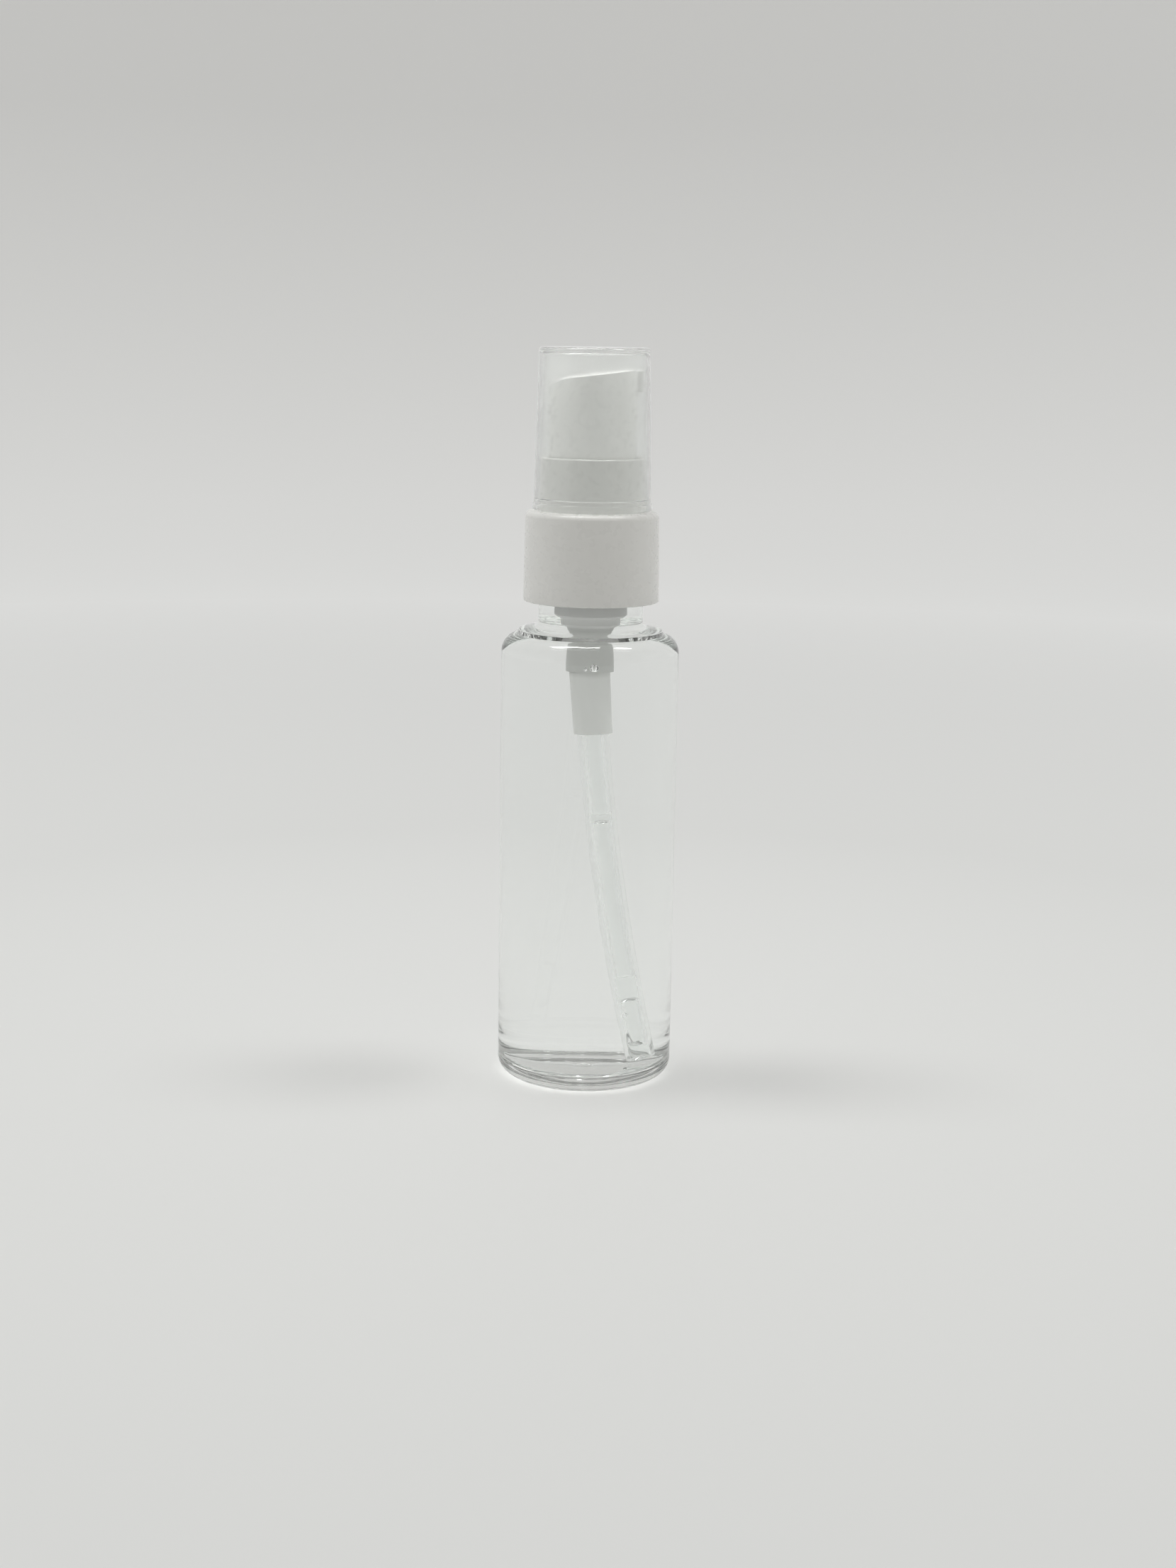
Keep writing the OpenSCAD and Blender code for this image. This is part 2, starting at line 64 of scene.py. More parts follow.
# ---------------------------------------------------------------- places read from the frame

bottle_high = box_mm("bottle")[1]
collar_low, collar_high = box_mm("screw_collar")
cap_low, cap_high = box_mm("overcap")
tube_low = box_mm("dip_tube")[0]
spring_low, spring_high = box_mm("return_spring")

BODY_R = bottle_high.x
NECK_TOP = bottle_high.z
NECK_ROOT = NECK_TOP - 15.7          # where the neck leaves the shoulder
SHOULDER_TOP = NECK_ROOT - 0.9
SHOULDER_R = 3.2
BODY_TOP = SHOULDER_TOP - SHOULDER_R  # end of the straight wall
HEEL_R = 2.8
WALL = 0.9
INNER_R = BODY_R - WALL
NECK_R = 8.8
NECK_BORE_R = 7.4
THREAD_R = 9.8
THREAD_Z = NECK_TOP - 6.7            # lower end of the thread
THREAD_PITCH = 3.175
THREAD_TURNS = 1.5
OIL_LEVEL = NECK_TOP - 5.5           # the bottle is full into its neck

TUBE_R = 1.95
TUBE_BORE_R = 1.3
TUBE_PIVOT = NECK_TOP - 23.2         # height from which the tube's arc starts
TUBE_LEAN = 2.5                      # degrees at the pump
TUBE_END_LEAN = 10.0                 # degrees at the lower end

# Refractive indices
AIR_PET = 1.57
AIR_OIL = 1.36
AIR_PE = 1.51
AIR_PP = 1.49
HAZY_PP = 1.25                       # the haze of the thin overcap hides most of its bending
PP_IN_OIL = 1.12                     # with oil round it, the pump hardly shines

EVEN = (1, 1, 1)                     # stretch of a noise that is alike in all directions
BOUNCES = 64                         # a ray crosses many faces before it leaves the filled bottle


# ---------------------------------------------------------------- mesh helpers

def new_object(name, mesh):
    obj = bpy.data.objects.new(name, mesh)
    bpy.context.scene.collection.objects.link(obj)
    return obj


def smooth_object(name, bm, sharp_deg=35):
    """Makes a smooth-shaded object of a bmesh, with its edges above sharp_deg left sharp."""
    bmesh.ops.recalc_face_normals(bm, faces=bm.faces)
    mesh = bpy.data.meshes.new(name)
    bm.to_mesh(mesh)
    bm.free()
    mesh.shade_smooth()
    mesh.set_sharp_from_angle(angle=math.radians(sharp_deg))
    return new_object(name, mesh)


def arc(r, z, radius, start, end, steps):
    """Points of a round stretch of a half section, its angles in degrees from +r towards +z."""
    angles = [math.radians(start + (end - start) * i / steps) for i in range(steps + 1)]
    return [(r + radius * math.cos(a), z + radius * math.sin(a)) for a in angles]


def line(start, end, steps):
    """Points between two points of a half section, without the two themselves."""
    return [
        (start[0] + (end[0] - start[0]) * i / steps, start[1] + (end[1] - start[1]) * i / steps)
        for i in range(1, steps)
    ]


def dome(foot_r, z, rise, steps=14):
    """Points of a shallow dome, from its middle out to its foot."""
    radius = (foot_r ** 2 + rise ** 2) / (2 * rise)
    points = []
    for i in range(steps + 1):
        r = foot_r * i / steps
        points.append((r, z + rise - radius + math.sqrt(radius ** 2 - r ** 2)))
    return points


def lathe(name, profile, segments, extra=None, closed=False):
    """Turns a half section about Z, from its first point to its last, or as a loop where closed is
    true. extra(angle, r, z) adds to the radius, for a thread."""
    on_axis = 1e-6
    bm = bmesh.new()
    rings = []
    for r, z in profile:
        if r < on_axis:
            rings.append([bm.verts.new((0, 0, z * MM))])
            continue
        ring = []
        for i in range(segments):
            a = 2 * math.pi * i / segments
            reach = r + (extra(a, r, z) if extra else 0)
            ring.append(bm.verts.new((reach * math.cos(a) * MM, reach * math.sin(a) * MM, z * MM)))
        rings.append(ring)
    pairs = list(zip(rings, rings[1:]))
    if closed:
        pairs.append((rings[-1], rings[0]))
    for low, high in pairs:
        for i in range(segments):
            j = (i + 1) % segments
            corners = [low[i % len(low)], low[j % len(low)], high[j % len(high)], high[i % len(high)]]
            bm.faces.new(list(dict.fromkeys(corners)))
    return smooth_object(name, bm)


def sweep(name, centres, rings, sharp_deg=35):
    """Skin over loops of points that follow one another, closed at both ends by the loops' own middles.
    centres are the middles of the two ends, or None for a loop of rings that closes on itself."""
    bm = bmesh.new()
    loops = [[bm.verts.new(Vector(p) * MM) for p in ring] for ring in rings]
    count = len(loops[0])
    pairs = list(zip(loops, loops[1:]))
    if centres is None:
        pairs.append((loops[-1], loops[0]))
    for low, high in pairs:
        for i in range(count):
            j = (i + 1) % count
            bm.faces.new([low[i], low[j], high[j], high[i]])
    if centres is not None:
        for middle, loop in zip(centres, (loops[0], loops[-1])):
            tip = bm.verts.new(Vector(middle) * MM)
            for i in range(count):
                bm.faces.new([loop[i], loop[(i + 1) % count], tip])
    return smooth_object(name, bm, sharp_deg)


def paint(obj, *materials):
    obj.data.materials.clear()
    for material in materials:
        obj.data.materials.append(material)


def let_light_through(*objects):
    """Clear pieces bend what is seen through them but throw no shade on what lies behind."""
    for obj in objects:
        obj.visible_shadow = False


# ---------------------------------------------------------------- material helpers

def principled(name, color, roughness, **sockets):
    """A Principled material. Sockets are given by their names with underscores for spaces."""
    material = bpy.data.materials.new(name)
    material.use_nodes = True
    shader = material.node_tree.nodes["Principled BSDF"]
    shader.inputs["Base Color"].default_value = (*color, 1)
    shader.inputs["Roughness"].default_value = roughness
    for socket, value in sockets.items():
        shader.inputs[socket.replace("_", " ")].default_value = value
    return material


def position_on(material):
    """Output with the position on the piece, in metres."""
    return material.node_tree.nodes.new("ShaderNodeTexCoord").outputs["Object"]


def height_on(material):
    """Output with the height on the piece, in metres."""
    split = material.node_tree.nodes.new("ShaderNodeSeparateXYZ")
    material.node_tree.links.new(position_on(material), split.inputs[0])
    return split.outputs["Z"]


def noise(material, size, detail, stretch):
    """A noise texture fixed to the piece, its spots about size across."""
    nodes = material.node_tree.nodes
    links = material.node_tree.links
    scale = nodes.new("ShaderNodeMapping")
    scale.inputs["Scale"].default_value = stretch
    texture = nodes.new("ShaderNodeTexNoise")
    texture.inputs["Scale"].default_value = 1 / (size * MM)
    texture.inputs["Detail"].default_value = detail
    links.new(position_on(material), scale.inputs["Vector"])
    links.new(scale.outputs["Vector"], texture.inputs["Vector"])
    return texture.outputs["Fac"]


def spread(material, value, low, high, start=0.3, end=0.7):
    """Maps the middle of a noise to the range from low to high."""
    node = material.node_tree.nodes.new("ShaderNodeMapRange")
    node.inputs["From Min"].default_value = start
    node.inputs["From Max"].default_value = end
    node.inputs["To Min"].default_value = low
    node.inputs["To Max"].default_value = high
    material.node_tree.links.new(value, node.inputs["Value"])
    return node.outputs["Result"]


def vary_roughness(material, size, low, high, stretch=EVEN):
    shader = material.node_tree.nodes["Principled BSDF"]
    value = spread(material, noise(material, size, 3, stretch), low, high)
    material.node_tree.links.new(value, shader.inputs["Roughness"])


def vary_color(material, size, dark, light, stretch=EVEN):
    """Blends two colours over the surface by a soft noise."""
    nodes = material.node_tree.nodes
    links = material.node_tree.links
    mix = nodes.new("ShaderNodeMix")
    mix.data_type = "RGBA"
    mix.inputs["A"].default_value = (*dark, 1)
    mix.inputs["B"].default_value = (*light, 1)
    links.new(spread(material, noise(material, size, 2, stretch), 0, 1), mix.inputs["Factor"])
    links.new(mix.outputs["Result"], nodes["Principled BSDF"].inputs["Base Color"])


def add_bump(material, *layers):
    """Layers of bump, each (size, height, stretch), one upon another."""
    nodes = material.node_tree.nodes
    links = material.node_tree.links
    normal = None
    for size, height, stretch in layers:
        bump = nodes.new("ShaderNodeBump")
        bump.inputs["Strength"].default_value = 1
        bump.inputs["Distance"].default_value = height * MM
        links.new(noise(material, size, 2, stretch), bump.inputs["Height"])
        if normal is not None:
            links.new(normal, bump.inputs["Normal"])
        normal = bump.outputs["Normal"]
    links.new(normal, nodes["Principled BSDF"].inputs["Normal"])


# ---------------------------------------------------------------- materials

def clear_pet():
    """Outer face of the blown PET wall: clear and glossy, very slightly wavy."""
    material = principled("clear_pet", (0.994, 1.0, 0.996), 0.01, Transmission_Weight=1.0, IOR=AIR_PET)
    vary_roughness(material, 3, 0.0, 0.03)
    add_bump(material, (14, 0.012, (1, 1, 0.5)))
    return material


def pet_to_oil():
    """Inner face of the PET wall where oil wets it."""
    material = principled("clear_pet_wetted", (0.99, 0.998, 0.993), 0.0,
                          Transmission_Weight=1.0, IOR=AIR_PET / AIR_OIL)
    add_bump(material, (11, 0.006, (1, 1, 0.5)))
    return material


def oil_surface():
    """The oil's own surface against air."""
    material = principled("oil_surface", (1, 1, 1), 0.0, Transmission_Weight=1.0, IOR=AIR_OIL)
    add_bump(material, (9, 0.004, EVEN))
    return material


def oil_inside():
    """The oil's own faces against the wall, which bend no light: the wall's material does that."""
    return principled("oil_inside", (1, 1, 1), 0.0, Transmission_Weight=1.0, IOR=1.0)


def white_pp(name="white_pp", dark=(0.775, 0.775, 0.75), light=(0.795, 0.795, 0.77)):
    """Moulded white polypropylene, satin, with faint flow marks and a fine grain."""
    material = principled(name, light, 0.3, IOR=AIR_PP)
    vary_color(material, 9, dark, light, (1, 1, 0.3))
    vary_roughness(material, 1.5, 0.24, 0.34)
    add_bump(material, (6, 0.003, (1, 1, 0.4)), (0.12, 0.0004, EVEN))
    return material


def frosted_pp():
    """Clarified polypropylene of the overcap: glossy skin over a hazy wall."""
    material = principled("frosted_pp", (0.957, 0.967, 0.96), 0.22, Transmission_Weight=0.93, IOR=HAZY_PP,
                          Coat_Weight=0.8, Coat_Roughness=0.03, Coat_IOR=AIR_PP)
    vary_roughness(material, 5, 0.21, 0.23, (1, 1, 0.4))
    add_bump(material, (8, 0.001, (1, 1, 0.3)), (0.3, 0.0002, EVEN))
    return material


def natural_pp(painted_light_below):
    """Uncoloured polypropylene of the pump, milky; it sits in oil, so it hardly shines. It is painted lighter
    below the given height in millimetres, for the light that shines through its thin wall round the tube,
    and in the neck, for the light that its milky wall carries into the collar's shade: both are painted
    light."""
    material = principled("natural_pp", (0.74, 0.75, 0.73), 0.3, IOR=PP_IN_OIL)
    nodes = material.node_tree.nodes
    links = material.node_tree.links
    # painted light: the two lighter colours below stand for light through the thin wall round the tube and
    # for light in the neck under the collar
    thin_wall_painted_light = (0.86, 0.87, 0.85, 1)
    neck_painted_light = (0.95, 0.955, 0.94, 1)
    half_blend = 0.5 * MM
    thin_wall_light_z = painted_light_below * MM
    neck_light_blend = ((NECK_ROOT - 2) * MM, (NECK_ROOT + 1) * MM)
    vary_color(material, 4, (0.68, 0.69, 0.67), (0.73, 0.74, 0.72), (1, 1, 0.5))
    shader = nodes["Principled BSDF"]
    blended = shader.inputs["Base Color"].links[0].from_socket
    z = height_on(material)
    thin_wall_light_share = spread(material, z, 1, 0, thin_wall_light_z - half_blend, thin_wall_light_z + half_blend)
    neck_light_share = spread(material, z, 0, 1, *neck_light_blend)
    # blends the two bands of painted light over the milky base colour
    for share, color in ((thin_wall_light_share, thin_wall_painted_light), (neck_light_share, neck_painted_light)):
        mix = nodes.new("ShaderNodeMix")
        mix.data_type = "RGBA"
        mix.inputs["B"].default_value = color
        links.new(share, mix.inputs["Factor"])
        links.new(blended, mix.inputs["A"])
        blended = mix.outputs["Result"]
    links.new(blended, shader.inputs["Base Color"])
    vary_roughness(material, 1, 0.25, 0.4)
    add_bump(material, (0.15, 0.001, EVEN))
    return material


def tube_outside():
    """Outer face of the dip tube, in oil: natural polyethylene, slightly milky."""
    material = principled("natural_pe", (0.97, 0.98, 0.975), 0.06, Transmission_Weight=0.93,
                          IOR=AIR_PE / AIR_OIL)
    vary_roughness(material, 2.5, 0.03, 0.08, (1, 1, 0.2))
    add_bump(material, (2.5, 0.0006, (1, 1, 0.1)))
    return material


def tube_bore(name, index):
    """Bore face of the dip tube against air or oil, by the index of the polyethylene beside it."""
    material = principled(name, (0.98, 0.99, 0.985), 0.01, Transmission_Weight=1.0, IOR=index)
    vary_roughness(material, 3, 0.0, 0.02, (1, 1, 0.2))
    return material


def air_bubble():
    """Air in oil: a glass shader whose index is below one."""
    material = bpy.data.materials.new("air_bubble")
    material.use_nodes = True
    nodes = material.node_tree.nodes
    glass = nodes.new("ShaderNodeBsdfGlass")
    glass.inputs["Roughness"].default_value = 0
    glass.inputs["IOR"].default_value = 1 / AIR_OIL
    nodes.remove(nodes["Principled BSDF"])
    material.node_tree.links.new(glass.outputs["BSDF"], nodes["Material Output"].inputs["Surface"])
    return material


def piston_pe():
    """Soft bluish polyethylene of the piston."""
    material = principled("piston_pe", (0.8, 0.83, 0.84), 0.4, IOR=AIR_PE, Subsurface_Weight=0.3,
                          Subsurface_Scale=0.8 * MM)
    vary_roughness(material, 0.8, 0.3, 0.5)
    add_bump(material, (0.1, 0.001, EVEN))
    return material


def gasket_foam():
    """Closed-cell foam of the neck gasket."""
    material = principled("gasket_foam", (0.85, 0.85, 0.82), 0.8)
    vary_color(material, 0.5, (0.8, 0.8, 0.77), (0.88, 0.88, 0.86))
    vary_roughness(material, 0.4, 0.7, 0.9)
    add_bump(material, (0.25, 0.03, EVEN))
    return material


def steel(name, color, low, high, stretch):
    """Stainless steel with fine marks along stretch."""
    material = principled(name, color, low, Metallic=1.0)
    vary_roughness(material, 0.3, low, high, stretch)
    add_bump(material, (0.1, 0.0006, stretch))
    return material


# ---------------------------------------------------------------- bottle

def thread_relief(wall_r, crest_r, start_z):
    """Function that gives how far the thread stands out of a neck or a collar at an angle and a height."""
    base_half = 1.0
    crest_half = 0.45
    fade = 0.09                          # run-out at each end, in turns
    on_wall = 0.01                       # a point within this distance of wall_r lies on the wall

    def relief(angle, r, z):
        if abs(r - wall_r) > on_wall:
            return 0
        best = 0
        for turn in range(3):
            t = angle / (2 * math.pi) + turn
            if t > THREAD_TURNS:
                continue
            off = abs(z - start_z - THREAD_PITCH * t)
            flank = (base_half - off) / (base_half - crest_half)
            ends = min(t, THREAD_TURNS - t) / fade
            best = max(best, min(1, max(0, flank)) * min(1, max(0, ends)))
        return best * (crest_r - wall_r)
    return relief


def bottle_outside():
    """Outer half section, from the middle of the base up to the rim."""
    foot_in = 10.2                       # edges of the flat ring that it stands on
    foot_out = BODY_R - HEEL_R
    pushup = 1.0
    gate_r = 1.2
    gate_bevel = 0.3
    gate_end = pushup - 0.3
    shoulder_c = BODY_R - SHOULDER_R
    crease_out = 0.7                     # from the shoulder's centre out to the crease above it
    crease = math.degrees(math.acos(crease_out / SHOULDER_R))
    roof_r = 11.9                        # where the roof starts inside the crease
    roof_edge = 0.32
    roof_end = 10.8
    root_r = 1.3                         # fillet between roof and neck
    thread_low = THREAD_Z - 1.4
    thread_high = THREAD_Z + THREAD_PITCH * THREAD_TURNS + 1.2
    rim_r = 0.3
    points = [(0, gate_end), (gate_r - gate_bevel, gate_end)]
    points += [(gate_r, gate_end + 0.1), (gate_r + 0.1, pushup)]
    points += [p for p in dome(foot_in, 0, pushup) if p[0] > gate_r + gate_bevel]
    points += arc(foot_out, HEEL_R, HEEL_R, -90, 0, 16)
    points += line((BODY_R, HEEL_R), (BODY_R, BODY_TOP), 12)
    points += arc(shoulder_c, BODY_TOP, SHOULDER_R, 0, crease, 16)
    points += arc(roof_r, SHOULDER_TOP + 0.3, roof_edge, 20, 75, 5)
    points += [(roof_end, NECK_ROOT - 0.14)]
    points += arc(NECK_R + root_r, NECK_ROOT + root_r, root_r, -90, -180, 10)
    points += [(NECK_R, thread_low)]
    points += line((NECK_R, thread_low), (NECK_R, thread_high), 38)
    points += [(NECK_R, thread_high)]
    points += arc(NECK_R - rim_r, NECK_TOP - rim_r, rim_r, 0, 90, 4)
    return points


def bottle_inside():
    """Inner half section, from the rim down to the middle of the floor."""
    floor = 2.0
    floor_rise = 0.5
    heel = 3.2
    shoulder = 2.6
    shoulder_z = BODY_TOP - 0.3
    roof = NECK_ROOT - 1.4
    rim_r = 0.2
    root_r = 1.0
    points = arc(NECK_BORE_R + rim_r, NECK_TOP - rim_r, rim_r, 90, 180, 4)
    points += [(NECK_BORE_R, OIL_LEVEL)]
    points += arc(NECK_BORE_R + root_r, roof + root_r, root_r, 180, 262, 8)
    points += arc(INNER_R - shoulder, shoulder_z, shoulder, 88, 0, 14)
    points += line((INNER_R, shoulder_z), (INNER_R, floor + heel), 12)
    points += arc(INNER_R - heel, floor + heel, heel, 0, -90, 16)
    points += list(reversed(dome(INNER_R - heel, floor, floor_rise)))[1:]
    return points


def make_bottle():
    """Blown wall as one closed shell: its inner face below the oil level meets oil, the rest meets air."""
    profile = bottle_outside() + bottle_inside()
    bottle = lathe("bottle_shell", profile, 192, thread_relief(NECK_R, THREAD_R, THREAD_Z))
    paint(bottle, clear_pet(), pet_to_oil())
    slack = 0.05
    under_floor = 1.6                    # faces lower than this belong to the base's outside
    floor_zone = 6
    roof_zone = 60
    for face in bottle.data.polygons:
        middle = face.center / MM
        outward = Vector((middle.x, middle.y, 0))
        faces_in = outward.length < INNER_R + slack and face.normal.dot(outward) < 0
        wall = faces_in and middle.z > under_floor
        floor = face.normal.z > 0.5 and middle.z < floor_zone
        roof = face.normal.z < -0.3 and middle.z > roof_zone
        if (wall or floor or roof) and middle.z < OIL_LEVEL - slack:
            face.material_index = 1
    let_light_through(bottle)
    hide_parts("bottle")
    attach(bottle, "bottle")


def make_oil():
    """The oil, a hair inside the wall, with a meniscus that climbs the neck and the pump. Its top
    turns down inside the housing's wall and ends there, open, so nothing in the pump cuts it. The
    edge stays in the wall when the pump is unscrewed, which lifts the housing by under 5 mm."""
    gap = 0.02
    climb = 0.7
    meniscus = [(0, 1), (0.15, 0.35), (0.5, 0.08), (1.0, 0)]  # distance from a wall, share of the climb
    wall = NECK_BORE_R - gap
    pump_r = 4.4                         # between the housing's bore and its outside
    edge_z = NECK_TOP - 8.6
    floor_zone = 10
    upright = 0.05                       # most that an upright face's normal may point up or down
    section = [(r - gap if r > gap else 0, z) for r, z in bottle_inside() if z < OIL_LEVEL - 1]
    section = [(r, z + (gap if z < floor_zone else -gap)) for r, z in section]
    top = [(pump_r, edge_z)]
    top += [(pump_r + away, OIL_LEVEL + share * climb) for away, share in meniscus]
    top += [(wall - away, OIL_LEVEL + share * climb) for away, share in reversed(meniscus)]
    oil = lathe("oil", top + section, 144)
    paint(oil, oil_surface(), oil_inside())
    for face in oil.data.polygons:
        if face.center.z / MM < OIL_LEVEL - 0.5 or abs(face.normal.z) < upright:
            face.material_index = 1
    let_light_through(oil)
    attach(oil, "bottle")


def make_bubbles():
    """Air bubbles: a large and a small one under the shoulder, and one held by the dip tube."""
    material = air_bubble()
    flatness = 0.93
    bubbles = [
        ("bubble_large", (0.7, -13.2, 72.8), 0.7),
        ("bubble_small", (-0.65, -13.5, 72.6), 0.3),
        ("bubble_at_tube", (5.4, -2.3, 11.4), 0.4),
    ]
    for name, place, radius in bubbles:
        bm = bmesh.new()
        bmesh.ops.create_icosphere(bm, subdivisions=4, radius=radius * MM)
        for vert in bm.verts:
            vert.co.z *= flatness
        bmesh.ops.translate(bm, verts=bm.verts, vec=Vector(place) * MM)
        bubble = smooth_object(name, bm)
        paint(bubble, material)
        let_light_through(bubble)
        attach(bubble, "bottle")


# ---------------------------------------------------------------- collar, overcap and actuator

def make_collar():
    """Screw collar with rounded edges, its guide ring and the thread inside it."""
    z0 = collar_low.z
    deck = z0 + 15.1
    foot_r = collar_high.x
    top_r = foot_r - 0.2                 # the skirt tapers upwards
    edge = 1.0
    lip = 0.25
    ring_out = 8.8
    ring_in = 7.9
    ring_top = collar_high.z
    ring_edge = 0.3
    ring_fillet = 0.3
    hole_r = 6.6
    deck_under = deck - 1.4
    corner = 0.4                         # inside, where the skirt meets the deck
    root_r = 10.1
    crest_r = 9.15
    thread_z = THREAD_Z - THREAD_PITCH / 2
    thread_margin = 1.3
    root_low = thread_z - thread_margin
    root_high = thread_z + THREAD_PITCH * THREAD_TURNS + thread_margin
    section = arc(foot_r - lip, z0 + lip, lip, -90, 0, 5)
    section += line((foot_r, z0 + lip), (top_r, deck - edge), 8)
    section += arc(top_r - edge, deck - edge, edge, 0, 90, 12)
    section += arc(ring_out + ring_fillet, deck + ring_fillet, ring_fillet, -90, -180, 5)
    section += arc(ring_out - ring_edge, ring_top - ring_edge, ring_edge, 0, 90, 6)
    section += arc(ring_in + ring_edge, ring_top - ring_edge, ring_edge, 90, 180, 6)
    section += [(ring_in, deck), (hole_r, deck), (hole_r, deck_under)]
    section += arc(root_r - corner, deck_under - corner, corner, 90, 0, 5)
    section += [(root_r, root_high)]
    section += line((root_r, root_high), (root_r, root_low), 30)
    section += [(root_r, root_low)]
    section += [(root_r, z0 + 0.6), (root_r + 0.3, z0 + lip / 2), (root_r + 0.4, z0)]
    collar = lathe("collar_shell", section, 192, thread_relief(root_r, crest_r, thread_z), closed=True)
    paint(collar, white_pp())
    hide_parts("screw_collar")
    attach(collar, "collar")


def make_overcap():
    """Thin hazy cap with a rim, a rounded crown and the gate's bulge under its roof."""
    z0 = cap_low.z
    top = cap_high.z
    foot_r = 9.83
    crown_r = 9.2
    edge = 0.6
    wall = 0.75
    roof = top - 0.8
    roof_edge = 0.5
    roof_z = roof - roof_edge
    mouth_top_r = foot_r - wall + 0.05   # the mouth widens in one small step
    mouth_r = foot_r - wall + 0.2
    mouth_z = z0 + 2.0
    rim_r = cap_high.x
    rim_h = 1.2
    rim_edge = 0.3
    rim_z = z0 + rim_h
    upper_edge = 0.12
    gate_r = 1.5
    gate_bulge = 0.45
    gate_z = roof - gate_bulge
    section = [(r, gate_z + roof - z) for r, z in dome(gate_r, gate_z, gate_bulge, 8)]
    section += arc(crown_r - wall - roof_edge, roof_z, roof_edge, 90, 0, 8)
    section += line((crown_r - wall, roof_z), (mouth_top_r, mouth_z), 10)
    section += [(mouth_top_r, mouth_z), (mouth_r, mouth_z - 0.15)]
    section += arc(mouth_r + rim_edge, z0 + rim_edge, rim_edge, 180, 270, 4)
    section += arc(rim_r - rim_edge, z0 + rim_edge, rim_edge, -90, 0, 4)
    section += arc(rim_r - upper_edge, rim_z - upper_edge, upper_edge, 0, 90, 4)
    section += [(foot_r, rim_z + 0.05)]
    section += line((foot_r, rim_z), (crown_r, top - edge), 10)
    section += arc(crown_r - edge, top - edge, edge, 0, 90, 10)
    section += [(crown_r - 2, top), (0, top)]
    cap = lathe("overcap_shell", section, 160)
    paint(cap, frosted_pp())
    let_light_through(cap)
    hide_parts("overcap")
    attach(cap, "cap")


def rounded_copy(name, node, width):
    """Copy of a CAD node whose flat faces are whole again and whose sharp edges are rounded."""
    weld = 0.002
    flat = math.radians(0.4)             # faces that meet at less than this are one face
    sharp_angle = math.radians(32)
    bm = bmesh.new()
    bm.from_mesh(frame["nodes"][node].data)
    bmesh.ops.remove_doubles(bm, verts=bm.verts, dist=weld * MM)
    bmesh.ops.dissolve_limit(bm, angle_limit=flat, verts=bm.verts, edges=bm.edges)
    sharp = [e for e in bm.edges if len(e.link_faces) == 2 and e.calc_face_angle(0) > sharp_angle]
    bmesh.ops.bevel(bm, geom=sharp, offset=width * MM, segments=3, profile=0.5, affect="EDGES",
                    clamp_overlap=True)
    copy = smooth_object(name, bm, sharp_deg=50)
    even = copy.modifiers.new("even_normals", "WEIGHTED_NORMAL")
    even.keep_sharp = True
    return copy


def make_actuator():
    """Push-down head. It is painted lighter than the collar, for it is seen through the hazy overcap."""
    head = rounded_copy("actuator_head", "actuator", 0.25)
    paint(head, white_pp("head_pp", (0.885, 0.885, 0.865), (0.9, 0.9, 0.88)))
    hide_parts("actuator")
    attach(head, "head")


# ---------------------------------------------------------------- dip tube and spring

tube_arc_r = (TUBE_PIVOT - tube_low.z) / (
    math.sin(math.radians(TUBE_END_LEAN)) - math.sin(math.radians(TUBE_LEAN)))


def on_tube(lean):
    """Point on the tube's centre line where it leans by an angle in radians, and two directions across it."""
    start = math.radians(TUBE_LEAN)
    x = tube_arc_r * (math.cos(start) - math.cos(lean))
    z = TUBE_PIVOT + tube_arc_r * (math.sin(start) - math.sin(lean))
    return Vector((x, 0, z)), Vector((math.cos(lean), 0, math.sin(lean))), Vector((0, 1, 0))


def lean_at(z):
    """Lean of the tube, in radians, at a height."""
    return math.asin(math.sin(math.radians(TUBE_LEAN)) + (TUBE_PIVOT - z) / tube_arc_r)


def tube_ring(lean, radius):
    """Points round the tube's centre line where it leans by an angle."""
    sides = 40
    middle, across, ahead = on_tube(lean)
    turns = [2 * math.pi * i / sides for i in range(sides)]
    return [middle + radius * (math.cos(t) * across + math.sin(t) * ahead) for t in turns]


def make_dip_tube(slugs):
    """Extruded tube on one long arc. slugs are the (low, high) heights where its bore holds oil."""
    free = 0.5                           # length of the arc above the tube's upper end
    low = lean_at(tube_low.z + TUBE_R * math.sin(math.radians(TUBE_END_LEAN)))
    high = math.radians(TUBE_LEAN) + free / tube_arc_r
    steps = 90
    leans = [high + (low - high) * i / steps for i in range(steps + 1)]
    rings = [tube_ring(lean, TUBE_R) for lean in leans]
    rings += [tube_ring(lean, TUBE_BORE_R) for lean in reversed(leans)]
    tube = sweep("dip_tube_clear", None, rings)
    paint(tube, tube_outside(), tube_bore("natural_pe_bore_dry", AIR_PE),
          tube_bore("natural_pe_bore_wet", AIR_PE / AIR_OIL))
    for face in tube.data.polygons:
        place = face.center / MM
        middle = on_tube(lean_at(place.z))[0]
        if (place - middle).length < (TUBE_R + TUBE_BORE_R) / 2:
            wet = any(start < place.z < end for start, end in slugs)
            face.material_index = 2 if wet else 1
    let_light_through(tube)
    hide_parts("dip_tube")
    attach(tube, "pump")


